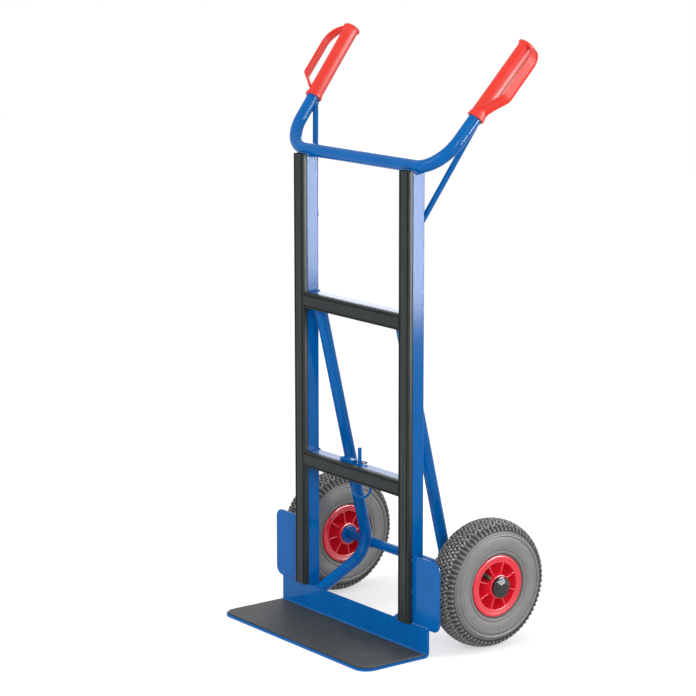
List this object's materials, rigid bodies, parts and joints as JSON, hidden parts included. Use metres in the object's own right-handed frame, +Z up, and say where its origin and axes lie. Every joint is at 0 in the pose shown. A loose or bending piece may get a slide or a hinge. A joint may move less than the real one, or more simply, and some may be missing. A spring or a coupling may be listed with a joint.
{
  "type": "two-wheeled hand truck",
  "caption": "Welded tube hand truck with plastic load strips, bent handle bow with guarded grips, flat toe plate with mat, wheel guards and air tyres on roller bearings.",
  "frame": {"origin": "on the floor under the middle of the truck's bounding box, standing on its toe plate and tyres", "axes": "+X to the truck's right-hand side seen from the load side's back, +Y from the toe plate toward the wheels, +Z up"},
  "size_m": [0.6632, 0.434, 1.2043],
  "materials": {
    "blue_powder_coat": "glossy blue powder coat on welded steel",
    "anthracite_plastic": "extruded dark grey plastic, satin",
    "mat_rubber": "dark grey rubber sheet, fine grain",
    "grip_plastic": "red moulded plastic, glossy",
    "tyre_rubber": "grey rubber tyre, matt",
    "tube_rubber": "black butyl inner tube",
    "valve_rubber": "black rubber valve stem with a brass tip",
    "rim_plastic": "red moulded plastic, glossy",
    "cage_plastic": "natural nylon, satin",
    "bearing_steel": "ground hardened steel",
    "zinc_steel": "zinc plated steel",
    "cap_plastic": "black moulded plastic, glossy",
    "spring_wire": "black oiled spring wire"
  },
  "bodies": {
    "frame": {"left_upright": "blue_powder_coat", "right_upright": "blue_powder_coat", "upper_crossbar": "blue_powder_coat", "lower_crossbar": "blue_powder_coat", "handle_bow": "blue_powder_coat", "left_handle_stay": "blue_powder_coat", "right_handle_stay": "blue_powder_coat", "left_brace": "blue_powder_coat", "right_brace": "blue_powder_coat", "axle": "blue_powder_coat", "toe_plate": "blue_powder_coat", "left_wheel_guard": "blue_powder_coat", "right_wheel_guard": "blue_powder_coat", "left_stop_collar": "blue_powder_coat", "right_stop_collar": "blue_powder_coat", "rod_bush": "blue_powder_coat", "rod_stop": "blue_powder_coat", "left_upright_strip": "anthracite_plastic", "right_upright_strip": "anthracite_plastic", "upper_crossbar_strip": "anthracite_plastic", "lower_crossbar_strip": "anthracite_plastic", "toe_mat": "mat_rubber", "left_grip": "grip_plastic", "right_grip": "grip_plastic", "left_washer": "zinc_steel", "right_washer": "zinc_steel", "left_hub_cap": "cap_plastic", "right_hub_cap": "cap_plastic"},
    "left_wheel": {"left_tyre": "tyre_rubber", "left_rim": "rim_plastic", "left_inner_tube": "tube_rubber", "left_valve": "valve_rubber", "left_bearing_cages": "cage_plastic", "left_bearing_rollers": "bearing_steel"},
    "right_wheel": {"right_tyre": "tyre_rubber", "right_rim": "rim_plastic", "right_inner_tube": "tube_rubber", "right_valve": "valve_rubber", "right_bearing_cages": "cage_plastic", "right_bearing_rollers": "bearing_steel"},
    "ring_rod_set": {"ring_rod": "blue_powder_coat", "spring_clip": "spring_wire"}
  },
  "joints": [
    {"name": "left_wheel_spin", "type": "hinge", "parent": "frame", "child": "left_wheel", "pos_m": [-0.24775, 0.087, 0.13], "axis": [1, 0, 0], "continuous": true},
    {"name": "right_wheel_spin", "type": "hinge", "parent": "frame", "child": "right_wheel", "pos_m": [0.24775, 0.087, 0.13], "axis": [1, 0, 0], "continuous": true},
    {"name": "ring_rod_turn", "type": "hinge", "parent": "frame", "child": "ring_rod_set", "pos_m": [0, -0.0405, 0.326], "axis": [0, 0, 1], "range_deg": [-150, 50]}
  ]
}
